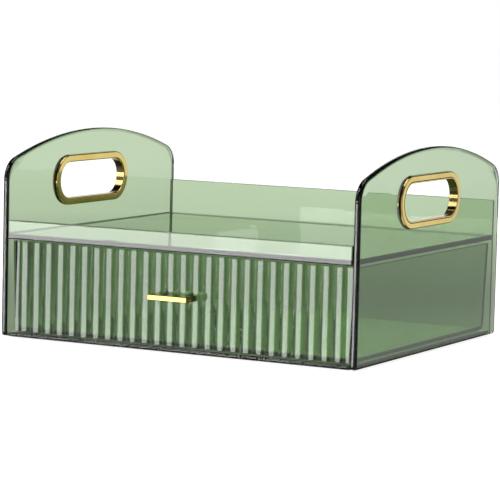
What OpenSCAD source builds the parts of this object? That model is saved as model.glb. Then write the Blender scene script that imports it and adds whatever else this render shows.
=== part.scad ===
// Desk organizer: an open tray between two arched side panels, over one full-width drawer.
// Millimetres, +Z up, the drawer opens towards -Y. The origin is on the ground under the
// middle of the object's box, so the pull's reach and the grommets' flanges count in it.

/* [Body] */
// Width over the two side panels
body_w = 300; // [240:1:360]
// Depth of the side panels
body_d = 254; // [210:1:310]
// Thickness of a side panel
panel_t = 5; // [4:0.1:7]
// Height of a side panel at the top of its arch
panel_h = 154; // [145:1:190]
// Radius of the arched top
arch_r = 370; // [330:5:600]
// Radius of the shoulder between the arch and the straight edge
shoulder_r = 18; // [10:0.5:24]
// Radius of the two bottom corners
toe_r = 3; // [1:0.5:6]
// Height of the lifted body above the ground
foot_h = 1.2; // [0.8:0.1:3]

/* [Tray] */
// Height of the tray floor's top above the bottom edge of the side panels
tray_top = 78.4; // [70:0.2:92]
// Thickness of the tray floor
tray_t = 3.2; // [2.4:0.1:5]
// Height of the front lip's top edge above the tray floor
lip_rise = 10.6; // [5:0.1:20]
// Thickness of the front lip
lip_t = 3; // [2:0.1:5]
// Drop of the front lip's bottom edge below the tray floor's underside
lip_drop = 0.8; // [0:0.1:1.2]

/* [Back and base] */
// Height of the back panel's top edge above the tray floor
rail_rise = 28.2; // [10:0.2:45]
// Thickness of the back panel
back_t = 3.2; // [2.4:0.1:5]
// Distance of the back panel from the rear edge of the side panels
back_inset = 4.6; // [3:0.1:10]
// Thickness of the base plate
base_t = 3.4; // [2.6:0.1:5]
// Distance of the base plate's front edge behind the side panels' front edge
base_inset = 0.6; // [0:0.1:3]
// Depth of the locating grooves in the side panels
groove_depth = 1.5; // [0.8:0.1:2]
// Clearance of a plate in its groove, each side
groove_clear = 0.05; // [0.02:0.01:0.2]

/* [Drawer] */
// Gap between the drawer and each side panel at the drawer's top
drawer_side_gap = 1.2; // [0.8:0.1:3]
// Gap between the drawer and the front lip above it
drawer_top_gap = 1.6; // [1:0.1:3]
// Gap between the drawer and the base plate
drawer_base_gap = 0.4; // [0.3:0.1:1]
// Gap between the drawer and the back panel
drawer_rear_gap = 3; // [2:0.1:12]
// Distance of the fluted front's crests behind the side panels' front edge
drawer_recess = 5.5; // [3:0.1:12]
// Thickness of the drawer's moulded walls
drawer_wall = 2.2; // [1.6:0.1:3.4]
// Thickness of the drawer's floor
drawer_floor = 2.6; // [1.8:0.1:4]
// Lean of each drawer side over its height
drawer_draft = 2.6; // [0:0.1:4]
// Radius of the drawer's lower rear edge
drawer_heel_r = 5; // [2.5:0.5:8]

/* [Fluted front] */
// Number of flutes
flute_count = 26; // [16:1:32]
// Height of a flute's crest over its valley
flute_rise = 1.5; // [0.8:0.1:2.2]
// Plain margin at each end of the flutes
flute_margin = 5.2; // [2:0.1:8]
// Thickness of the front behind the flutes
front_t = 2.4; // [1.6:0.1:4]

/* [Pull] */
// Width of the pull
pull_w = 33; // [24:1:60]
// Reach of the pull in front of the flutes' crests
pull_reach = 14.5; // [10:0.5:22]
// Thickness of the pull
pull_t = 4; // [3:0.1:8]
// Height of the pull's middle above the side panels' bottom edge
pull_z = 40.8; // [30:0.2:50]
// Spacing of the two pull screws
screw_pitch = 20; // [12:1:40]
// Diameter of the screw thread
screw_d = 2.6; // [2:0.1:2.6]
// Length of thread inside the pull
screw_bite = 8; // [5:0.5:9]
// Diameter of the screw head
screw_head_d = 5.6; // [4.6:0.1:7]
// Height of the screw head
screw_head_h = 2; // [1.4:0.1:3]
// Diameter of the washer
washer_d = 8; // [7.4:0.1:10]
// Thickness of the washer
washer_t = 0.8; // [0.5:0.1:1.6]

/* [Hand holes] */
// Height of the hand hole's middle above the side panels' bottom edge
hole_z = 114.5; // [112:0.5:120]
// Distance of the hand hole's middle from the side panels' front edge
hole_y = 121; // [100:1:155]
// Straight length of the hand hole
hole_straight = 67.6; // [50:0.5:75]
// Height of the finished opening inside the grommet
opening_h = 28; // [24:0.5:31]
// Width of the grommet's face around the opening
grommet_face = 5.7; // [4.6:0.1:7]
// Thickness of each grommet flange
flange_t = 1.2; // [0.8:0.1:2]
// Wall of each of the two nested grommet sleeves
sleeve_wall = 0.8; // [0.6:0.1:1.2]
// Clearance between the sleeves, and between the outer sleeve and the panel
sleeve_clear = 0.05; // [0.02:0.01:0.2]

/* [Pads] */
// Diameter of a foot pad
foot_d = 12; // [8:0.5:18]
// Depth of the pocket in the base plate that holds a foot pad
foot_pocket = 0.8; // [0.4:0.1:1.2]
// Distance of a foot pad's middle from the side panel's inner face
foot_inset_x = 16; // [12:1:40]
// Distance of a foot pad's middle from the base plate's front and rear edge
foot_inset_y = 16; // [12:1:40]
// Diameter of a drawer bumper
bumper_d = 8; // [6:0.5:12]
// Thickness of a drawer bumper
bumper_t = 1.8; // [1:0.1:1.9]
// Distance of each drawer bumper from the middle
bumper_x = 100; // [60:5:110]

/* [Hidden] */

$fn = 96;
// Overlap of shapes that join, and how far a cut runs past its faces
eps = 0.01;
cut = 1;
// Longer than any side of the object
far = 400;

body_green = [0.62, 0.75, 0.58];
flute_green = [0.40, 0.58, 0.40];
gold = [0.86, 0.70, 0.28];
steel = [0.75, 0.75, 0.76];
silicone = [0.85, 0.88, 0.85];

// Places along Y, from the side panels' front edge at 0
base_front = base_inset;
back_rear = body_d - back_inset;
back_front = back_rear - back_t;
front_crest = drawer_recess;
front_valley = front_crest + flute_rise;
front_rear = front_valley + front_t;
drawer_rear = back_front - drawer_rear_gap;
pull_front = front_crest - pull_reach;

// The box runs from the pull's front, or the panels', to the panels' rear edge
box_front = min(pull_front, 0);
y_shift = -(box_front + body_d) / 2;

// Widths
bay_w = body_w - 2 * panel_t;
plate_w = bay_w + 2 * (groove_depth - groove_clear);
drawer_top_w = bay_w - 2 * drawer_side_gap;
drawer_base_w = drawer_top_w - 2 * drawer_draft;
flute_span = drawer_top_w - 2 * flute_margin;
flute_pitch = flute_span / flute_count;
// Radius of the arc that rises flute_rise over one pitch
flute_r = (pow(flute_pitch / 2, 2) + pow(flute_rise, 2)) / (2 * flute_rise);
// Each flute runs this far behind its valleys, and this far over its neighbours
flute_root = 0.3;
flute_lap = 0.4;

// Heights above the side panels' bottom edge
tray_under = tray_top - tray_t;
lip_bottom = tray_under - lip_drop;
lip_top = tray_top + lip_rise;
rail_top = tray_top + rail_rise;
drawer_bottom = base_t + drawer_base_gap;
drawer_top = lip_bottom - drawer_top_gap;
drawer_h = drawer_top - drawer_bottom;

// Arched top: centre of the arch and of the shoulders, and where they touch
arch_z = panel_h - arch_r;
shoulder_run = body_d / 2 - shoulder_r;
shoulder_reach = arch_r - shoulder_r;
shoulder_z = arch_z + sqrt(pow(shoulder_reach, 2) - pow(shoulder_run, 2));
cap_reach = 1.2 * arch_r / shoulder_reach;

// Grommet radii, from the opening outwards
open_r = opening_h / 2;
inner_sleeve_r = open_r + sleeve_wall;
outer_sleeve_in_r = inner_sleeve_r + sleeve_clear;
outer_sleeve_r = outer_sleeve_in_r + sleeve_wall;
panel_hole_r = outer_sleeve_r + sleeve_clear;
flange_r = open_r + grommet_face;

// Puts a shape drawn from the front edge and the bottom edge into the object's frame
module placed() {
  translate([0, y_shift, foot_h]) children();
}

// A plate whose outline is drawn in Y and Z, from x = x0 with thickness t
module yz_plate(x0, t) {
  translate([x0, 0, 0])
    rotate([90, 0, 90])
      linear_extrude(height = t) children();
}

// A bar whose outline is drawn in X and Z, from y = y0 with length t
module xz_plate(y0, t) {
  translate([0, y0 + t, 0])
    rotate([90, 0, 0])
      linear_extrude(height = t) children();
}

// Box centred on x = 0
module mid_box(w, y0, y1, z0, z1) {
  translate([-w / 2, y0, z0]) cube([w, y1 - y0, z1 - z0]);
}

// Oblong with semicircular ends about the hand hole's middle
module oblong(r) {
  translate([hole_y - hole_straight / 2, hole_z - r]) square([hole_straight, 2 * r]);
  for (s = [-1, 1])
    translate([hole_y + s * hole_straight / 2, hole_z]) circle(r = r);
}

// Part of the arch's disc between the two lines that run through the shoulders' centres
module arch_cap() {
  intersection() {
    translate([body_d / 2, arch_z]) circle(r = arch_r, $fn = 360);
    polygon([
      [shoulder_r, shoulder_z],
      [body_d / 2 - shoulder_run * cap_reach, arch_z + (shoulder_z - arch_z) * cap_reach],
      [body_d / 2 + shoulder_run * cap_reach, arch_z + (shoulder_z - arch_z) * cap_reach],
      [body_d - shoulder_r, shoulder_z]
    ]);
  }
}

// Outline of a side panel: straight edges, shoulders and an arched top
module panel_outline() {
  arch_cap();
  for (y = [shoulder_r, body_d - shoulder_r])
    translate([y, shoulder_z]) circle(r = shoulder_r);
  translate([0, toe_r]) square([body_d, shoulder_z - toe_r]);
  translate([toe_r, 0]) square([body_d - 2 * toe_r, toe_r + eps]);
  for (y = [toe_r, body_d - toe_r])
    translate([y, toe_r]) circle(r = toe_r);
}

// Grooves that the tray floor, the base plate and the back panel sit in
module panel_grooves() {
  for (z = [[0, base_t], [tray_under, tray_top]])
    translate([0, z[0] - groove_clear])
      square([back_rear + groove_clear, z[1] - z[0] + 2 * groove_clear]);
  translate([back_front - groove_clear, -groove_clear])
    square([back_t + 2 * groove_clear, rail_top + 2 * groove_clear]);
}

// The right side panel, hand hole and grooves included
module side_panel() {
  difference() {
    yz_plate(body_w / 2 - panel_t, panel_t)
      difference() {
        panel_outline();
        oblong(panel_hole_r);
      }
    intersection() {
      yz_plate(bay_w / 2 - cut, groove_depth + cut) panel_grooves();
      mid_box(body_w, lip_t, back_rear + groove_clear, -cut, panel_h);
    }
  }
}

// Flange and sleeve that pass through the right side panel from outside
module grommet_outer_half() {
  yz_plate(body_w / 2, flange_t)
    difference() {
      oblong(flange_r);
      oblong(outer_sleeve_in_r);
    }
  yz_plate(body_w / 2 - panel_t, panel_t + eps)
    difference() {
      oblong(outer_sleeve_r);
      oblong(outer_sleeve_in_r);
    }
}

// Flange on the right side panel's inner face, with the sleeve that lines the opening
module grommet_inner_half() {
  yz_plate(bay_w / 2 - flange_t, flange_t)
    difference() {
      oblong(flange_r);
      oblong(open_r);
    }
  yz_plate(bay_w / 2 - eps, panel_t + flange_t + eps)
    difference() {
      oblong(inner_sleeve_r);
      oblong(open_r);
    }
}

// Section of the drawer across X: sides lean in towards the bottom
module drawer_section(inset, floor_rise) {
  lean = drawer_draft * floor_rise / drawer_h;
  polygon([
    [-drawer_base_w / 2 - lean + inset, drawer_bottom + floor_rise],
    [drawer_base_w / 2 + lean - inset, drawer_bottom + floor_rise],
    [drawer_top_w / 2 - inset, drawer_top],
    [-drawer_top_w / 2 + inset, drawer_top]
  ]);
}

// Side view of the drawer's moulding, with its rounded heel
module drawer_profile(inset, floor_rise, heel_r) {
  y0 = front_rear + inset;
  y1 = drawer_rear - inset;
  z0 = drawer_bottom + floor_rise;
  translate([y0, z0]) square([y1 - y0 - heel_r, drawer_top - z0]);
  translate([y0, z0 + heel_r]) square([y1 - y0, drawer_top - z0 - heel_r]);
  translate([y1 - heel_r, z0 + heel_r]) circle(r = heel_r);
}

// Plan of the fluted front: a plate with a row of shallow arcs along its face. The plate starts
// half a root behind the valleys, so that there only the two arcs meet.
module front_plan() {
  translate([-drawer_top_w / 2, front_valley + flute_root / 2])
    square([drawer_top_w, front_t - flute_root / 2]);
  for (i = [0 : flute_count - 1])
    translate([(i + 0.5) * flute_pitch - flute_span / 2, 0])
      intersection() {
        translate([0, front_crest + flute_r]) circle(r = flute_r);
        translate([-flute_pitch / 2 - flute_lap, front_crest])
          square([flute_pitch + 2 * flute_lap, flute_rise + flute_root]);
      }
}

// Screw places on the pull
module at_screws() {
  for (s = [-1, 1])
    translate([s * screw_pitch / 2, 0, pull_z]) children();
}

// A cylinder along +Y from y0 to y1
module rod_y(d, y0, y1) {
  translate([0, y0, 0])
    rotate([-90, 0, 0]) cylinder(d = d, h = y1 - y0);
}

// Foot pad places, side = -1 left or 1 right, end = 0 front or 1 rear
module at_foot(side, end) {
  foot_y = end == 0 ? base_front + foot_inset_y : back_rear - foot_inset_y;
  translate([side * (bay_w / 2 - foot_inset_x), foot_y, 0]) children();
}

module foot(side, end) {
  color(silicone)
    placed() at_foot(side, end)
      translate([0, 0, -foot_h]) cylinder(d = foot_d, h = foot_h + foot_pocket);
}

module right_side_panel() {
  color(body_green) placed() side_panel();
}

module left_side_panel() {
  color(body_green) placed() mirror([1, 0, 0]) side_panel();
}

module back_panel() {
  color(body_green) placed() mid_box(plate_w, back_front, back_rear, 0, rail_top);
}

module tray_floor() {
  color(body_green) placed() mid_box(plate_w, lip_t, back_front, tray_under, tray_top);
}

module tray_lip() {
  color(body_green) placed() mid_box(bay_w, 0, lip_t, lip_bottom, lip_top);
}

module base_plate() {
  color(body_green) placed() difference() {
    union() {
      mid_box(plate_w, lip_t, back_front, 0, base_t);
      mid_box(bay_w, base_front, lip_t + eps, 0, base_t);
    }
    for (side = [-1, 1])
      for (end = [0, 1])
        at_foot(side, end)
          translate([0, 0, -cut]) cylinder(d = foot_d, h = foot_pocket + cut);
  }
}

module drawer_box() {
  color(body_green) placed() difference() {
    intersection() {
      xz_plate(0, far) drawer_section(0, 0);
      yz_plate(-far / 2, far) drawer_profile(0, 0, drawer_heel_r);
    }
    intersection() {
      xz_plate(0, far) drawer_section(drawer_wall, drawer_floor);
      yz_plate(-far / 2, far)
        drawer_profile(drawer_wall, drawer_floor, drawer_heel_r - drawer_wall);
    }
    mid_box(drawer_top_w - 2 * drawer_wall, front_rear + drawer_wall,
            drawer_rear - drawer_wall, drawer_top - eps, drawer_top + cut);
    at_screws() rod_y(screw_d, front_rear - cut, front_rear + drawer_wall + cut);
  }
}

module drawer_front() {
  color(flute_green) placed() difference() {
    intersection() {
      xz_plate(0, far) drawer_section(0, 0);
      translate([0, 0, drawer_bottom - cut])
        linear_extrude(height = drawer_h + 2 * cut) front_plan();
    }
    at_screws() rod_y(screw_d, front_crest - cut, front_rear + cut);
  }
}

module drawer_pull() {
  color(gold) placed() difference() {
    mid_box(pull_w, pull_front, front_crest, pull_z - pull_t / 2, pull_z + pull_t / 2);
    at_screws() rod_y(screw_d, front_crest - screw_bite, front_crest + cut);
  }
}

module pull_washers() {
  color(steel) placed() at_screws() difference() {
    rod_y(washer_d, front_rear + drawer_wall, front_rear + drawer_wall + washer_t);
    rod_y(screw_d, front_rear, front_rear + drawer_wall + washer_t + cut);
  }
}

module pull_screws() {
  head_y = front_rear + drawer_wall + washer_t;
  color(steel) placed() at_screws() {
    rod_y(screw_d, front_crest - screw_bite, head_y + eps);
    rod_y(screw_head_d, head_y, head_y + screw_head_h);
  }
}

module drawer_bumpers() {
  bumper_z = (drawer_bottom + drawer_top) / 2;
  color(silicone) placed()
    for (s = [-1, 1])
      translate([s * bumper_x, 0, bumper_z]) rod_y(bumper_d, back_front - bumper_t, back_front);
}

module right_grommet_outer() {
  color(gold) placed() grommet_outer_half();
}

module right_grommet_inner() {
  color(gold) placed() grommet_inner_half();
}

module left_grommet_outer() {
  color(gold) placed() mirror([1, 0, 0]) grommet_outer_half();
}

module left_grommet_inner() {
  color(gold) placed() mirror([1, 0, 0]) grommet_inner_half();
}

module foot_front_left() { foot(-1, 0); }
module foot_front_right() { foot(1, 0); }
module foot_rear_left() { foot(-1, 1); }
module foot_rear_right() { foot(1, 1); }

left_side_panel();
right_side_panel();
back_panel();
tray_floor();
tray_lip();
base_plate();
drawer_box();
drawer_front();
drawer_pull();
pull_screws();
pull_washers();
left_grommet_outer();
left_grommet_inner();
right_grommet_outer();
right_grommet_inner();
foot_front_left();
foot_front_right();
foot_rear_left();
foot_rear_right();
drawer_bumpers();
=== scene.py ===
import math

import bpy
import bmesh
from mathutils import Matrix, Vector

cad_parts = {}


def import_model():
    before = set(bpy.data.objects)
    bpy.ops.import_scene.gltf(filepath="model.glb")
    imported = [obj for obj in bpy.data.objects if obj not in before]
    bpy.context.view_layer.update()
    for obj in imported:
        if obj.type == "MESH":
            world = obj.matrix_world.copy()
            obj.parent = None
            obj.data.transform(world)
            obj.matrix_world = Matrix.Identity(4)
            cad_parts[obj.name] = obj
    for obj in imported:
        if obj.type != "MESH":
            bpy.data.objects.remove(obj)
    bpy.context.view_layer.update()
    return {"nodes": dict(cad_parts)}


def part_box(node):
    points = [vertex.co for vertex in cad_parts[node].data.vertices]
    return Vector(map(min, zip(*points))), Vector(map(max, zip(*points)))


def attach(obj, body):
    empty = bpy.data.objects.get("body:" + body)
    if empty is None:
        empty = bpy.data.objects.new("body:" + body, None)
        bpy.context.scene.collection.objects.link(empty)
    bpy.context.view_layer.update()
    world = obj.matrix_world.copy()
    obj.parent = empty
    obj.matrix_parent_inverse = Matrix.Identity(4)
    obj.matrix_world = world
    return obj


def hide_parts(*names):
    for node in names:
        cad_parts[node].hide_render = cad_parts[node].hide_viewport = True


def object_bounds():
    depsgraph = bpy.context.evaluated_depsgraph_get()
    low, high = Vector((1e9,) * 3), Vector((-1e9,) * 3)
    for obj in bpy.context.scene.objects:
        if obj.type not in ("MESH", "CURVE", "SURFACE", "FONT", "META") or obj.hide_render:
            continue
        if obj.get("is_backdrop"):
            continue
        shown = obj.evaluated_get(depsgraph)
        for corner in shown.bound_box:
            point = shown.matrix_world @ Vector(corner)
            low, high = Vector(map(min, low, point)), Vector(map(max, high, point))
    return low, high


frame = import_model()

# Lengths here are in millimetres in the CAD model's frame, and are turned into metres as meshes
# are made
MM = 0.001
BODY = "organizer_body"
DRAWER = "drawer"


def box(node):
    """A CAD node's two corners in millimetres, as (x0, x1, y0, y1, z0, z1)."""
    lo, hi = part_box(node)
    return tuple(v / MM for pair in zip(lo, hi) for v in pair)


# ---------------------------------------------------------------- camera

# Focal length over the picture's width, and the width of the camera's sensor
LENS_PER_WIDTH = 2600 / 500
SENSOR = 36.0
AZIMUTH, ELEVATION, ROLL = math.radians(27.95), math.radians(5.8), math.radians(1.414)
# The point looked at, then moved sideways and up in the picture
AIM = Vector((0.0, -12.5, 71.2))
AIM_SHIFT = (4.21, -2.5)
DISTANCE = 1998.9


def make_camera():
    """The camera at the photograph's viewing angle."""
    forward = Vector((-math.sin(AZIMUTH) * math.cos(ELEVATION),
                      math.cos(AZIMUTH) * math.cos(ELEVATION), -math.sin(ELEVATION)))
    level = Vector((math.cos(AZIMUTH), math.sin(AZIMUTH), 0.0))
    upright = level.cross(forward)
    aim = AIM + level * AIM_SHIFT[0] + upright * AIM_SHIFT[1]
    right = level * math.cos(ROLL) + upright * math.sin(ROLL)
    up = upright * math.cos(ROLL) - level * math.sin(ROLL)
    data = bpy.data.cameras.new("camera")
    data.sensor_width = SENSOR
    data.lens = SENSOR * LENS_PER_WIDTH
    data.clip_start, data.clip_end = 0.05, 60.0
    camera = bpy.data.objects.new("camera", data)
    bpy.context.scene.collection.objects.link(camera)
    turn = Matrix((right, up, -forward)).transposed().to_4x4()
    camera.matrix_world = Matrix.Translation((aim - forward * DISTANCE) * MM) @ turn
    bpy.context.scene.camera = camera


# ---------------------------------------------------------------- materials


def new_material(name):
    material = bpy.data.materials.new(name)
    material.use_nodes = True
    tree = material.node_tree
    tree.nodes.clear()
    out = tree.nodes.new("ShaderNodeOutputMaterial")
    shader = tree.nodes.new("ShaderNodeBsdfPrincipled")
    tree.links.new(shader.outputs["BSDF"], out.inputs["Surface"])
    return material, tree, shader, out


def coordinates(tree):
    """Object coordinates, which are the CAD frame's metres."""
    return tree.nodes.new("ShaderNodeTexCoord").outputs["Object"]


def noise(tree, vector, scale, detail):
    """Noise with scale features to the metre."""
    node = tree.nodes.new("ShaderNodeTexNoise")
    node.inputs["Scale"].default_value = scale
    node.inputs["Detail"].default_value = detail
    tree.links.new(vector, node.inputs["Vector"])
    return node.outputs["Fac"]


def spread(tree, value, low, high, source=(0.3, 0.7)):
    """value mapped from its usual range to low..high."""
    node = tree.nodes.new("ShaderNodeMapRange")
    node.inputs["From Min"].default_value, node.inputs["From Max"].default_value = source
    node.inputs["To Min"].default_value, node.inputs["To Max"].default_value = low, high
    tree.links.new(value, node.inputs["Value"])
    return node.outputs["Result"]


def bump(tree, shader, height, strength, distance):
    """Bump of the given height in metres."""
    node = tree.nodes.new("ShaderNodeBump")
    node.inputs["Strength"].default_value = strength
    node.inputs["Distance"].default_value = distance
    tree.links.new(height, node.inputs["Height"])
    tree.links.new(node.outputs["Normal"], shader.inputs["Normal"])


def two_tones(tree, value, dark, light, positions=(0.0, 1.0)):
    """A colour between dark and light, by value."""
    ramp = tree.nodes.new("ShaderNodeValToRGB")
    for element, position, tone in zip(ramp.color_ramp.elements, positions, (dark, light)):
        element.position = position
        element.color = (*tone, 1.0)
    tree.links.new(value, ramp.inputs["Fac"])
    return ramp.outputs["Color"]


# The green of the plastic's inside, for light that has gone some way through it
TINT = (0.355, 0.59, 0.19)
# The surface takes next to nothing away
CLEAR = (0.97, 1.0, 0.965)
RIPPLE_SCALE = 14.0
HAZE_SCALE = 60.0
HAZE = 0.03


def clear_green(name, density, ripple=0.0003, ior=1.5):
    """Clear moulded plastic, tinted through its thickness, with a faint ripple on its faces."""
    material, tree, shader, out = new_material(name)
    shader.inputs["Base Color"].default_value = (*CLEAR, 1.0)
    shader.inputs["Transmission Weight"].default_value = 1.0
    shader.inputs["IOR"].default_value = ior
    vector = coordinates(tree)
    haze = noise(tree, vector, HAZE_SCALE, 3.0)
    tree.links.new(spread(tree, haze, 0.0, HAZE), shader.inputs["Roughness"])
    bump(tree, shader, noise(tree, vector, RIPPLE_SCALE, 1.0), 1.0, ripple)
    depth = tree.nodes.new("ShaderNodeVolumeAbsorption")
    depth.inputs["Color"].default_value = (*TINT, 1.0)
    depth.inputs["Density"].default_value = density
    tree.links.new(depth.outputs["Volume"], out.inputs["Volume"])
    return material


GRAIN_SCALE = 900.0
TONE_SCALE = 35.0
WAVE_SCALE = 45.0


def plated(name, dark, light, roughness):
    """Polished plated metal: a slow change of tone and a fine, barely visible grain."""
    material, tree, shader, out = new_material(name)
    shader.inputs["Metallic"].default_value = 1.0
    vector = coordinates(tree)
    tone = noise(tree, vector, TONE_SCALE, 2.0)
    tree.links.new(two_tones(tree, tone, dark, light, (0.3, 0.7)), shader.inputs["Base Color"])
    grain = noise(tree, vector, GRAIN_SCALE, 2.0)
    tree.links.new(spread(tree, grain, *roughness), shader.inputs["Roughness"])
    bump(tree, shader, noise(tree, vector, WAVE_SCALE, 1.0), 1.0, 0.00008)
    return material


STEEL_SCALE = 1500.0
STEEL_DARK = (0.42, 0.42, 0.43)
STEEL_LIGHT = (0.66, 0.66, 0.68)


def turned_steel(name):
    """Bright steel with a fine matt grain."""
    material, tree, shader, out = new_material(name)
    shader.inputs["Metallic"].default_value = 1.0
    grain = noise(tree, coordinates(tree), STEEL_SCALE, 3.0)
    tree.links.new(two_tones(tree, grain, STEEL_DARK, STEEL_LIGHT), shader.inputs["Base Color"])
    tree.links.new(spread(tree, grain, 0.22, 0.4), shader.inputs["Roughness"])
    bump(tree, shader, grain, 0.4, 0.00005)
    return material


SILICONE_SCALE = 700.0


def silicone(name, ior, dark, light, clear):
    """Clear satin silicone: dark and light are the ends of its tone, a little green."""
    material, tree, shader, out = new_material(name)
    shader.inputs["Transmission Weight"].default_value = clear
    shader.inputs["IOR"].default_value = ior
    grain = noise(tree, coordinates(tree), SILICONE_SCALE, 3.0)
    tones = ((dark, dark + (1 - dark) * 0.4, dark), (light, light + (1 - light) * 0.6, light))
    tree.links.new(two_tones(tree, grain, *tones), shader.inputs["Base Color"])
    tree.links.new(spread(tree, grain, 0.12, 0.25), shader.inputs["Roughness"])
    bump(tree, shader, grain, 0.3, 0.00005)
    return material


# The densities make up for how much of each plate's thickness the light crosses
SHELL = clear_green("clear_green_shell", 165.0)
THIN = clear_green("clear_green_plate", 265.0, ior=1.4)
LIP = clear_green("clear_green_lip", 50.0)
TUB = clear_green("clear_green_tub", 150.0, ripple=0.0)
FLUTED = clear_green("clear_green_drawer", 230.0, ripple=0.0)
RING_GOLD = plated("plated_gold_ring", (0.80, 0.60, 0.17), (0.92, 0.72, 0.26), (0.06, 0.11))
# The pull and the lining are darker copies of the ring gold, painted shade, because they mirror
# much brighter cards than the rings' faces do
PULL_GOLD_SHADED = plated("plated_gold_pull_shaded", (0.32, 0.235, 0.06), (0.40, 0.30, 0.08), (0.08, 0.13))
LINING_SHADED = plated("plated_gold_lining_shaded", (0.28, 0.21, 0.08), (0.36, 0.28, 0.12), (0.1, 0.16))
# Near black, a painted shade on the grommets' faces inside the panel's hole
SEAT_SHADE = plated("seat_painted_shade", (0.02, 0.018, 0.012), (0.035, 0.03, 0.02), (0.35, 0.5))
STEEL = turned_steel("zinc_plated_steel")
SILICONE = silicone("silicone", ior=1.41, dark=0.88, light=0.95, clear=0.92)
# The bumpers wet the plastic they stick to, so their edges hardly show
STUCK_SILICONE = silicone("silicone_stuck_on", ior=1.05, dark=0.98, light=1.0, clear=1.0)

# ---------------------------------------------------------------- meshes


SHARP_ANGLE = math.radians(40.0)


def finish_piece(bm, name, material, body, nodes):
    """Makes the piece: smooth shading, with sharp edges only where the shape has a corner."""
    bmesh.ops.remove_doubles(bm, verts=bm.verts, dist=1e-7)
    bmesh.ops.recalc_face_normals(bm, faces=bm.faces)
    mesh = bpy.data.meshes.new(name)
    bm.to_mesh(mesh)
    bm.free()
    mesh.polygons.foreach_set("use_smooth", [True] * len(mesh.polygons))
    mesh.set_sharp_from_angle(angle=SHARP_ANGLE)
    mesh.materials.append(material)
    piece = bpy.data.objects.new(name, mesh)
    bpy.context.scene.collection.objects.link(piece)
    weigh = piece.modifiers.new("face_normals", "WEIGHTED_NORMAL")
    weigh.keep_sharp = True
    weigh.weight = 100
    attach(piece, body)
    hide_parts(*nodes)
    return piece


# The least cosine for which a corner's point is moved the whole way
SHARPEST = 0.35


def inset(loop, distance):
    """A closed counter-clockwise outline moved inwards by distance, corners kept."""
    moved = []
    for i, (u, v) in enumerate(loop):
        pu, pv = loop[i - 1]
        nu, nv = loop[(i + 1) % len(loop)]
        a = Vector((u - pu, v - pv)).normalized()
        b = Vector((nu - u, nv - v)).normalized()
        normal = Vector((-a.y - b.y, a.x + b.x)).normalized()
        reach = distance / max(SHARPEST, normal.dot(Vector((-a.y, a.x))))
        moved.append((u + normal.x * reach, v + normal.y * reach))
    return moved


PLACE = {
    "x": lambda u, v, d: (d * MM, u * MM, v * MM),
    "y": lambda u, v, d: (u * MM, d * MM, v * MM),
    "z": lambda u, v, d: (u * MM, v * MM, d * MM),
}


def plate(name, outline, holes, along, d0, d1, rim, material, body, nodes, steps=4,
          lean=None, border=None):
    """A plate whose outline is drawn square to an axis, from d0 to d1 along it, rim rounded.

    The rim is rounded with steps flats. border is (width, slope, depth): inside that width both
    faces step in by depth. lean moves a point (u, v) by its depth.
    """
    bm = bmesh.new()
    place = PLACE[along]
    layers = []
    sunk = 0.0
    if border:
        width, slope, sunk = border
        layers += [(width + slope, d0 + sunk), (width, d0)]
    for k in range(steps + 1):
        turn = math.pi / 2 * k / steps
        layers.append((rim * (1 - math.sin(turn)), d0 + rim * (1 - math.cos(turn))))
    layers += [(i, d0 + d1 - d) for i, d in reversed(layers)]
    caps = ([], [])
    for loop in [outline] + holes:
        rings = []
        bare_hole = border and loop is not outline
        for step, depth in [(0.0, d0 + sunk), (0.0, d1 - sunk)] if bare_hole else layers:
            ring = inset(loop, step)
            if lean:
                ring = [lean(u, v, depth) for u, v in ring]
            rings.append([bm.verts.new(place(u, v, depth)) for u, v in ring])
        for lower, upper in zip(rings, rings[1:]):
            for i in range(len(loop)):
                j = (i + 1) % len(loop)
                bm.faces.new((lower[i], lower[j], upper[j], upper[i]))
        for cap, ring in zip(caps, (rings[0], rings[-1])):
            cap.append(ring)
    for cap in caps:
        if len(cap) == 1:
            bm.faces.new(cap[0])
        else:
            edges = [bm.edges.get((ring[i], ring[(i + 1) % len(ring)]))
                     for ring in cap for i in range(len(ring))]
            bmesh.ops.triangle_fill(bm, use_beauty=True, edges=edges)
    return finish_piece(bm, name, material, body, nodes)


def arc(cu, cv, radius, start, end, count):
    """Points of an arc from start to end degrees."""
    points = []
    for i in range(count + 1):
        angle = math.radians(start + (end - start) * i / count)
        points.append((cu + radius * math.cos(angle), cv + radius * math.sin(angle)))
    return points


def rectangle(u0, u1, v0, v1, radius, count=5):
    """A rectangle with rounded corners, counter-clockwise."""
    return (arc(u1 - radius, v0 + radius, radius, -90, 0, count)
            + arc(u1 - radius, v1 - radius, radius, 0, 90, count)
            + arc(u0 + radius, v1 - radius, radius, 90, 180, count)
            + arc(u0 + radius, v0 + radius, radius, 180, 270, count))


def oblong(cu, cv, straight, radius, count=40):
    """A slot with round ends along u, counter-clockwise."""
    return (arc(cu + straight / 2, cv, radius, -90, 90, count)
            + arc(cu - straight / 2, cv, radius, 90, 270, count))


# The design's sizes, which the CAD boxes don't give
ARCH_R = 370.0
SHOULDER_R = 18.0
TOE_R = 3.0
OPENING_R = 14.0
FLANGE_T = 1.2
SLEEVE_T = 0.8
# Two clear plates that touch in the real object are this far apart in the picture
AIR = 0.06
# The side panels' raised border: its width and slope inside the rounded rim, and its height
BORDER, SLOPE, SUNK = 2.4, 0.5, 0.3
PANEL_RIM = 2.2


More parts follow.
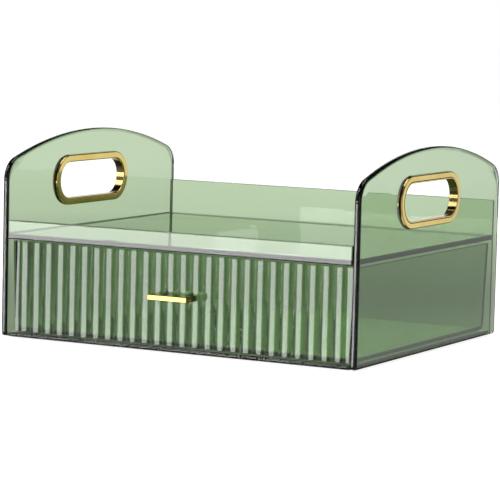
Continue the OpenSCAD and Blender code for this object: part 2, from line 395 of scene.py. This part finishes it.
def panel_outline(y0, y1, z0, z1):
    """The side panel: an arched top, two shoulders and two small toes, counter-clockwise."""
    middle = (y0 + y1) / 2
    arch_z = z1 - ARCH_R
    run = (y1 - y0) / 2 - SHOULDER_R
    shoulder_z = arch_z + math.sqrt((ARCH_R - SHOULDER_R) ** 2 - run ** 2)
    meet = math.degrees(math.atan2(shoulder_z - arch_z, run))
    points = arc(y0 + TOE_R, z0 + TOE_R, TOE_R, 180, 270, 8)
    points += arc(y1 - TOE_R, z0 + TOE_R, TOE_R, 270, 360, 8)
    points += arc(y1 - SHOULDER_R, shoulder_z, SHOULDER_R, 0, meet, 22)
    points += arc(middle, arch_z, ARCH_R, meet, 180 - meet, 64)[1:-1]
    points += arc(y0 + SHOULDER_R, shoulder_z, SHOULDER_R, 180 - meet, 180, 22)
    return points


def ring_facts(side):
    """Middle, straight length and flange radius of a grommet, from its CAD box."""
    _, _, y0, y1, z0, z1 = box(side + "_grommet_outer")
    radius = (z1 - z0) / 2
    return (y0 + y1) / 2, (z0 + z1) / 2, (y1 - y0) - 2 * radius, radius


def side_panel(side):
    x0, x1, y0, y1, z0, z1 = box(side + "_side_panel")
    cy, cz, straight, _ = ring_facts(side)
    clearance = 0.1
    hole = oblong(cy, cz, straight, OPENING_R + 2 * SLEEVE_T + clearance)[::-1]
    plate(side + "_panel", panel_outline(y0, y1, z0, z1), [hole], "x", x0, x1, PANEL_RIM, SHELL,
          BODY, [side + "_side_panel"], steps=6, border=(BORDER, SLOPE, SUNK))


# A flange's section: flats of its two rounded edges, their radius, and the points they take
CROWN = 6
CROWN_R = 0.9
FLANGE_POINTS = 1 + 2 * (CROWN + 1)


def swept_ring(name, cy, cz, straight, profile, nodes):
    """A closed section of (distance from the opening's middle line, x) swept round the slot.

    The section starts with a flange. The sleeve's face inside the opening is the lining, a
    darker gold as painted shade, and the section's last two sides are the seat, near black as
    painted shade.
    """
    bm = bmesh.new()
    rings = []
    for radius, x in profile:
        loop = oblong(cy, cz, straight, radius, 48)
        rings.append([bm.verts.new((x * MM, u * MM, v * MM)) for u, v in loop])
    count = len(rings[0])
    for a in range(len(rings)):
        b = (a + 1) % len(rings)
        for i in range(count):
            j = (i + 1) % count
            face = bm.faces.new((rings[a][i], rings[a][j], rings[b][j], rings[b][i]))
            if a >= len(rings) - 2:
                face.material_index = 1
            elif a == FLANGE_POINTS - 1:
                face.material_index = 2
    piece = finish_piece(bm, name, RING_GOLD, BODY, nodes)
    piece.data.materials.append(SEAT_SHADE)
    piece.data.materials.append(LINING_SHADED)
    return piece


def grommet(side):
    """Two gold halves that meet through the panel's hole, each with a crowned flange."""
    sign = 1 if side == "right" else -1
    px0, px1 = box(side + "_side_panel")[:2]
    outer_face, inner_face = (px1, px0) if sign > 0 else (px0, px1)
    cy, cz, straight, flange_r = ring_facts(side)
    seat = SUNK - AIR
    skirt, heel, lead = 0.15, 0.25, 0.3

    def flange(face, way, inner_r):
        """The flange's section from its outer edge on the panel over its crown to inner_r."""
        section = [(flange_r, face - way * seat)]
        for k in range(CROWN + 1):
            turn = math.radians(15 + 75 * k / CROWN)
            section.append((flange_r - CROWN_R * (1 - math.cos(turn)) - skirt,
                            face + way * (heel + (FLANGE_T - heel) * math.sin(turn))))
        for k in range(CROWN + 1):
            turn = math.radians(90 * k / CROWN)
            section.append((inner_r + CROWN_R * (1 - math.sin(turn)),
                            face + way * (lead + (FLANGE_T - lead) * math.cos(turn))))
        return section

    # The outer half's sleeve slips over the inner half's with a hair of room
    inner_sleeve_r = OPENING_R + SLEEVE_T
    outer_in = inner_sleeve_r + 0.05
    section = flange(outer_face, sign, outer_in)
    section += [(outer_in, inner_face), (outer_in + SLEEVE_T, inner_face),
                (outer_in + SLEEVE_T, outer_face - sign * seat)]
    swept_ring(side + "_ring_outer", cy, cz, straight, section, [side + "_grommet_outer"])
    chamfer = 0.2
    section = flange(inner_face, -sign, OPENING_R)
    rim = outer_face + sign * (FLANGE_T - chamfer)
    section += [(OPENING_R, rim), (OPENING_R + chamfer, rim + sign * chamfer),
                (inner_sleeve_r, rim + sign * chamfer),
                (inner_sleeve_r, inner_face + sign * seat)]
    swept_ring(side + "_ring_inner", cy, cz, straight, section, [side + "_grommet_inner"])


def shell_plates():
    """The plates between the side panels, each with its own softened edges.

    A notch in the back panel and a bead at each end of the tray floor draw the dark lines where
    the tray meets its neighbours.
    """
    lx1 = box("left_side_panel")[1]
    rx0 = box("right_side_panel")[0]
    x0, x1 = lx1 + AIR, rx0 - AIR
    _, _, by0, by1, bz0, bz1 = box("back_panel")
    _, _, fy0, fy1, fz0, fz1 = box("tray_floor")
    corner = 5
    rail = rectangle(by0, by1, bz0, bz1, 0.6, corner)
    notch_low, notch_high, notch_depth = 0.1, 1.0, 0.5
    notch = [(by0, fz1 + notch_high), (by0 + notch_depth, fz1 + (notch_low + notch_high) / 2),
             (by0, fz1 + notch_low)]
    # The notch comes between the rectangle's third and fourth corners, going down its front side
    third_corner_end = 3 * (corner + 1)
    rail[third_corner_end:third_corner_end] = notch
    plate("back", rail, [], "x", x0, x1, 0.4, THIN, BODY, ["back_panel"])
    bead, bead_top, bead_foot = 0.8, 0.4, 0.9
    bead_z = fz1 + bead
    tray = [(x0, fz0), (x1, fz0), (x1, bead_z), (x1 - bead_top, bead_z), (x1 - bead_foot, fz1),
            (x0 + bead_foot, fz1), (x0 + bead_top, bead_z), (x0, bead_z)]
    plate("floor", tray, [], "y", fy0 + AIR, by0 - AIR, 0.15, THIN, BODY,
          ["tray_floor"])
    _, _, ly0, ly1, lz0, lz1 = box("tray_lip")
    plate("lip", rectangle(x0, x1, lz0, lz1, 1.0), [], "y", ly0, ly1, 1.0, LIP, BODY,
          ["tray_lip"])
    _, _, py0, _, pz0, pz1 = box("base_plate")
    plate("base", rectangle(x0, x1, py0, by0 - AIR, 1.6), [], "z", pz0, pz1, 1.4, SHELL, BODY,
          ["base_plate"])


# The drawer's own sizes
FLUTES = 26
FLUTE_MARGIN = 5.2
FLUTE_RISE = 1.5
DRAFT = 2.6
WALL = 2.2
FLOOR_T = 2.6
HEEL_R = 5.0


def drawer_front():
    """The front plate, with its row of round flutes between two plain margins."""
    x0, x1, y0, y1, z0, z1 = box("drawer_front")
    valley = y0 + FLUTE_RISE
    span = (x1 - x0) - 2 * FLUTE_MARGIN
    pitch = span / FLUTES
    radius = ((pitch / 2) ** 2 + FLUTE_RISE ** 2) / (2 * FLUTE_RISE)
    half = math.degrees(math.asin(pitch / 2 / radius))
    outline = [(x1, y1), (x0, y1), (x0, valley)]
    start = x0 + FLUTE_MARGIN
    for i in range(FLUTES):
        middle = start + (i + 0.5) * pitch
        points = arc(middle, y0 + radius, radius, 270 - half, 270 + half, 12)
        outline += points if i == 0 else points[1:]
    outline.append((x1, valley))

    def lean(u, v, depth):
        """The two ends lean in towards the bottom, and the flutes stay upright."""
        edge = span / 2 + 0.5
        middle = (x0 + x1) / 2
        if abs(u - middle) < edge:
            return u, v
        shift = DRAFT * (z1 - depth) / (z1 - z0)
        return u - math.copysign(shift, u - middle), v

    plate("fluted_front", outline, [], "z", z0, z1, 0.4, FLUTED, DRAWER,
          ["drawer_front"], steps=3, lean=lean)


def drawer_tub():
    """The drawer's moulding: an open tub with leaning sides and a rounded heel."""
    x0, x1, y0, y1, z0, z1 = box("drawer_box")
    y0 += AIR
    half_top = (x1 - x0) / 2

    def half_width(z):
        return half_top - DRAFT * (z1 - z) / (z1 - z0)

    def profile(inset_y, bottom, heel):
        """The tub's long section: open top, a small front chamfer and the heel."""
        front, rear, chamfer = y0 + inset_y, y1 - inset_y, 0.8
        points = [(front, z1), (front, bottom + chamfer), (front + chamfer, bottom)]
        points += arc(rear - heel, bottom + heel, heel, 270, 360, 10)
        points.append((rear, z1))
        return points

    bm = bmesh.new()

    def shell(points, narrow):
        """One surface of the tub, and the four corners of its mouth."""
        left = [bm.verts.new((-(half_width(z) - narrow) * MM, y * MM, z * MM))
                for y, z in points]
        right = [bm.verts.new(((half_width(z) - narrow) * MM, y * MM, z * MM))
                 for y, z in points]
        for i in range(len(points) - 1):
            bm.faces.new((left[i], left[i + 1], right[i + 1], right[i]))
        bm.faces.new(left)
        bm.faces.new(right)
        return left[0], right[0], right[-1], left[-1]

    outer = shell(profile(0.0, z0, HEEL_R), 0.0)
    inner = shell(profile(WALL, z0 + FLOOR_T, HEEL_R - WALL), WALL)
    for i in range(4):
        j = (i + 1) % 4
        bm.faces.new((outer[i], outer[j], inner[j], inner[i]))
    piece = finish_piece(bm, "drawer_tub", TUB, DRAWER, ["drawer_box"])
    soften = piece.modifiers.new("softened_edges", "BEVEL")
    soften.width = 0.6 * MM
    soften.segments = 3
    soften.limit_method = "ANGLE"
    soften.angle_limit = math.radians(50)
    soften.use_clamp_overlap = False
    # The bevel comes before the weighted normals
    piece.modifiers.move(1, 0)


def pull():
    x0, x1, y0, y1, z0, z1 = box("drawer_pull")
    plate("bar_pull", rectangle(x0, x1, z0, z1, 0.5, 4), [], "y", y0, y1, 0.5, PULL_GOLD_SHADED,
          DRAWER, ["drawer_pull"])


ROUND = 48


def lathe(name, centres, profile, along, material, nodes):
    """Turned shapes on the body, each closed by a flat at both ends of its profile.

    The profile is a list of (radius, distance along the axis).
    """
    bm = bmesh.new()
    for cx, cy, cz in centres:
        rings = []
        for radius, d in profile:
            ring = []
            for i in range(ROUND):
                a = 2 * math.pi * i / ROUND
                u, v = radius * math.cos(a), radius * math.sin(a)
                point = (cx + u, cy + v, cz + d) if along == "z" else (cx + u, cy + d, cz + v)
                ring.append(bm.verts.new([c * MM for c in point]))
            rings.append(ring)
        for lower, upper in zip(rings, rings[1:]):
            for i in range(ROUND):
                j = (i + 1) % ROUND
                bm.faces.new((lower[i], lower[j], upper[j], upper[i]))
        bm.faces.new(rings[0])
        bm.faces.new(rings[-1])
    return finish_piece(bm, name, material, BODY, nodes)


def feet():
    """Four pads with a rounded lower edge, each ending a hair below the base plate."""
    top = box("base_plate")[4] - AIR / 2
    for node in ("foot_front_left", "foot_front_right", "foot_rear_left", "foot_rear_right"):
        x0, x1, y0, y1, z0, _ = box(node)
        r = (x1 - x0) / 2
        profile = [(r - 1.2, 0.0), (r - 0.6, 0.15), (r - 0.15, 0.5), (r, 0.9), (r, top - z0)]
        lathe(node + "_pad", [((x0 + x1) / 2, (y0 + y1) / 2, z0)], profile, "z", SILICONE,
              [node])


def bumpers():
    """Two low domes on the back panel, clear of the plastic on both sides by a hair."""
    x0, x1, y0, y1, z0, z1 = box("drawer_bumpers")
    r = (z1 - z0) / 2
    tall = y1 - y0 - 2 * AIR
    flats = 6
    profile = [(r, 0.0)]
    for k in range(flats):
        turn = math.pi / 2 * k / flats
        profile.append((r - 0.8 * tall * (1 - math.cos(turn)), -tall * math.sin(turn) * 0.98))
    profile.append((r - 0.9 * tall, -tall))
    centres = [(x, y1 - AIR, (z0 + z1) / 2) for x in (x0 + r, x1 - r)]
    lathe("bumper_domes", centres, profile, "y", STUCK_SILICONE, ["drawer_bumpers"])


# ---------------------------------------------------------------- studio

# Clear plastic is lit as for a catalogue. The camera sees white all round, but what shines
# through and off the object is a bright sweep along the photo's line of sight, a dark band at
# each side of it and mid grey beyond, with a dark ceiling. All stops are (place, brightness).
DIM = 0.05
SIDE = 0.4
# Round the room: the place is the sideways part of the direction
ROOM_BAND = [(0.0, 1.0), (0.15, 1.0), (0.30, DIM), (0.6, DIM), (0.8, SIDE), (1.0, SIDE)]
# Up the room: the place is the upward part of the direction
ROOM_HEIGHT = [(0.0, 1.0), (0.35, 1.0), (0.6, 0.12), (1.0, 0.12)]
# Across the floor: the place is the distance from the sweep's middle line over the distance from
# the photo's camera, or its mirror image, so the sweep widens away from the object
FLOOR_BAND = [(0.0, 1.0), (0.105, 1.0), (0.16, DIM), (0.24, DIM), (0.4, SIDE), (1.0, SIDE)]
# Out over the floor: the place is the distance from the object, as a share of two metres. The
# glow is darker near the object, a painted shadow of the object
FLOOR_REACH = 2.0
FLOOR_SHADE = [(0.0, 0.42), (0.2, 0.45), (0.35, 0.62), (0.55, 0.92), (1.0, 1.0)]
# What the camera sees of the floor: how much light the paper returns, and its own fill
PAPER = 0.8
FILL = 0.9
FLOOR_SIZE = 8.0
FLOOR_DROP = 0.0002


def ramp_between(tree, value, stops):
    """A colour ramp in greys: stops is a list of (position, grey)."""
    node = tree.nodes.new("ShaderNodeValToRGB")
    elements = node.color_ramp.elements
    elements[0].position, elements[1].position = stops[0][0], stops[-1][0]
    for position, _ in stops[1:-1]:
        elements.new(position)
    for element, (_, grey) in zip(elements, stops):
        element.color = (grey, grey, grey, 1.0)
    tree.links.new(value, node.inputs["Fac"])
    return node.outputs["Color"]


def math_node(tree, operation, *values):
    """A Math node's result for sockets and plain numbers."""
    node = tree.nodes.new("ShaderNodeMath")
    node.operation = operation
    for socket, value in zip(node.inputs, values):
        if isinstance(value, float):
            socket.default_value = value
        else:
            tree.links.new(value, socket)
    return node.outputs["Value"]


def across_sweep(tree, vector):
    """A place or direction, turned to the sweep: its distance sideways, and its three parts."""
    turn = tree.nodes.new("ShaderNodeVectorRotate")
    turn.rotation_type = "Z_AXIS"
    turn.inputs["Angle"].default_value = -AZIMUTH
    tree.links.new(vector, turn.inputs["Vector"])
    parts = tree.nodes.new("ShaderNodeSeparateXYZ")
    tree.links.new(turn.outputs["Vector"], parts.inputs["Vector"])
    return math_node(tree, "ABSOLUTE", parts.outputs["X"]), parts.outputs


def seen_or_lit(tree, out, seen, lit):
    """What the camera sees directly, and what light and reflections meet."""
    path = tree.nodes.new("ShaderNodeLightPath")
    mix = tree.nodes.new("ShaderNodeMixShader")
    tree.links.new(path.outputs["Is Camera Ray"], mix.inputs["Fac"])
    tree.links.new(lit, mix.inputs[1])
    tree.links.new(seen, mix.inputs[2])
    tree.links.new(mix.outputs["Shader"], out.inputs["Surface"])


def stage():
    """The pale floor: paper with a fill for the camera, the lit sweep for everything else."""
    bm = bmesh.new()
    bmesh.ops.create_grid(bm, x_segments=8, y_segments=8, size=FLOOR_SIZE)
    mesh = bpy.data.meshes.new("studio_floor")
    bm.to_mesh(mesh)
    bm.free()
    material = bpy.data.materials.new("pale_floor")
    material.use_nodes = True
    tree = material.node_tree
    tree.nodes.clear()
    out = tree.nodes.new("ShaderNodeOutputMaterial")
    paper = tree.nodes.new("ShaderNodeBsdfDiffuse")
    paper.inputs["Color"].default_value = (PAPER, PAPER, PAPER, 1.0)
    fill = tree.nodes.new("ShaderNodeEmission")
    fill.inputs["Strength"].default_value = FILL
    both = tree.nodes.new("ShaderNodeAddShader")
    tree.links.new(paper.outputs["BSDF"], both.inputs[0])
    tree.links.new(fill.outputs["Emission"], both.inputs[1])
    glow = tree.nodes.new("ShaderNodeEmission")
    place = coordinates(tree)
    away, parts = across_sweep(tree, place)
    ahead = math_node(tree, "ADD", math_node(tree, "ABSOLUTE", parts["Y"]), DISTANCE * MM)
    strip = ramp_between(tree, math_node(tree, "DIVIDE", away, ahead), FLOOR_BAND)
    far_off = tree.nodes.new("ShaderNodeVectorMath")
    far_off.operation = "LENGTH"
    tree.links.new(place, far_off.inputs[0])
    share = spread(tree, far_off.outputs["Value"], 0.0, 1.0, (0.0, FLOOR_REACH))
    shade = ramp_between(tree, share, FLOOR_SHADE)
    tree.links.new(shade, glow.inputs["Color"])
    tree.links.new(strip, glow.inputs["Strength"])
    seen_or_lit(tree, out, both.outputs["Shader"], glow.outputs["Emission"])
    mesh.materials.append(material)
    floor = bpy.data.objects.new("studio_floor", mesh)
    bpy.context.scene.collection.objects.link(floor)
    floor.location.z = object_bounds()[0].z - FLOOR_DROP
    # The object's faces mirror cards that stand partly below the floor
    floor.visible_glossy = False
    floor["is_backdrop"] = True


def world():
    """White for the camera, the studio's bands for everything else."""
    studio = bpy.data.worlds.new("studio")
    bpy.context.scene.world = studio
    studio.use_nodes = True
    tree = studio.node_tree
    tree.nodes.clear()
    out = tree.nodes.new("ShaderNodeOutputWorld")
    coords = tree.nodes.new("ShaderNodeTexCoord")
    away, parts = across_sweep(tree, coords.outputs["Generated"])
    grey = ramp_between(tree, away, ROOM_BAND)
    height = ramp_between(tree, parts["Z"], ROOM_HEIGHT)
    around = tree.nodes.new("ShaderNodeBackground")
    tree.links.new(grey, around.inputs["Color"])
    tree.links.new(height, around.inputs["Strength"])
    seen = tree.nodes.new("ShaderNodeBackground")
    seen.inputs["Color"].default_value = (1.0, 1.0, 1.0, 1.0)
    seen_or_lit(tree, out, seen.outputs["Background"], around.outputs["Background"])


def softbox(name, where, target, size, power):
    """A soft light that is seen only as a reflection."""
    data = bpy.data.lights.new(name, "AREA")
    data.shape = "RECTANGLE"
    data.size, data.size_y = size
    data.energy = power
    light = bpy.data.objects.new(name, data)
    bpy.context.scene.collection.objects.link(light)
    light.location = where
    light.visible_camera = False
    light.visible_transmission = False
    light.rotation_euler = (Vector(where) - Vector(target)).to_track_quat("Z", "Y").to_euler()


def card(name, where, size, brightness):
    """A softbox with the given brightness as reflections see it, facing the object level."""
    width, tall = size
    softbox(name, where, (0, 0, where[2]), size, brightness * math.pi * width * tall)


def lights():
    """Cards for the faces to mirror, and two soft lights for the rest."""
    # The front cards stand where the object's front faces mirror the camera. The two main ones
    # are low, so no upward face mirrors them from any side. The core is nearer than the wide
    # card that it covers, because two lights in one plane hide each other. The small upper card
    # is for the arches.
    mirrored = Vector((-math.sin(AZIMUTH), -math.cos(AZIMUTH), 0.0)) * DISTANCE * MM
    for name, width, tall, z, brightness, near in (
            ("front_card_wide", 2.2, 0.34, -0.185, 1.6, 1.0),
            ("front_card_core", 1.45, 0.34, -0.185, 6.6, 0.97),
            ("front_card_upper", 1.3, 0.26, 0.25, 4.5, 1.0)):
        card(name, (mirrored.x * near, mirrored.y * near, z), (width, tall), brightness)
    # The gold rings' faces mirror this card, behind the object on the right
    card("ring_card", (0.85, 1.6, -0.15), (1.3, 0.7), 0.42)
    middle = (0, 0, 0.08)
    softbox("key", (-1.2, -1.4, 1.8), middle, (1.2, 1.2), 18)
    softbox("top", (0.2, 0.3, 2.2), middle, (1.6, 1.6), 14)


# ---------------------------------------------------------------- making

make_camera()
for side in ("left", "right"):
    side_panel(side)
    grommet(side)
shell_plates()
drawer_front()
drawer_tub()
pull()
feet()
bumpers()
for node in ("pull_screws", "pull_washers"):
    frame["nodes"][node].data.materials.clear()
    frame["nodes"][node].data.materials.append(STEEL)
stage()
world()
lights()

scene = bpy.context.scene
scene.view_settings.view_transform = "Standard"
scene.view_settings.exposure = 0.0
# Light passes many clear faces on its way, so the paths are long
scene.cycles.max_bounces = 32
scene.cycles.transmission_bounces = 32
scene.cycles.transparent_max_bounces = 32
scene.cycles.glossy_bounces = 8
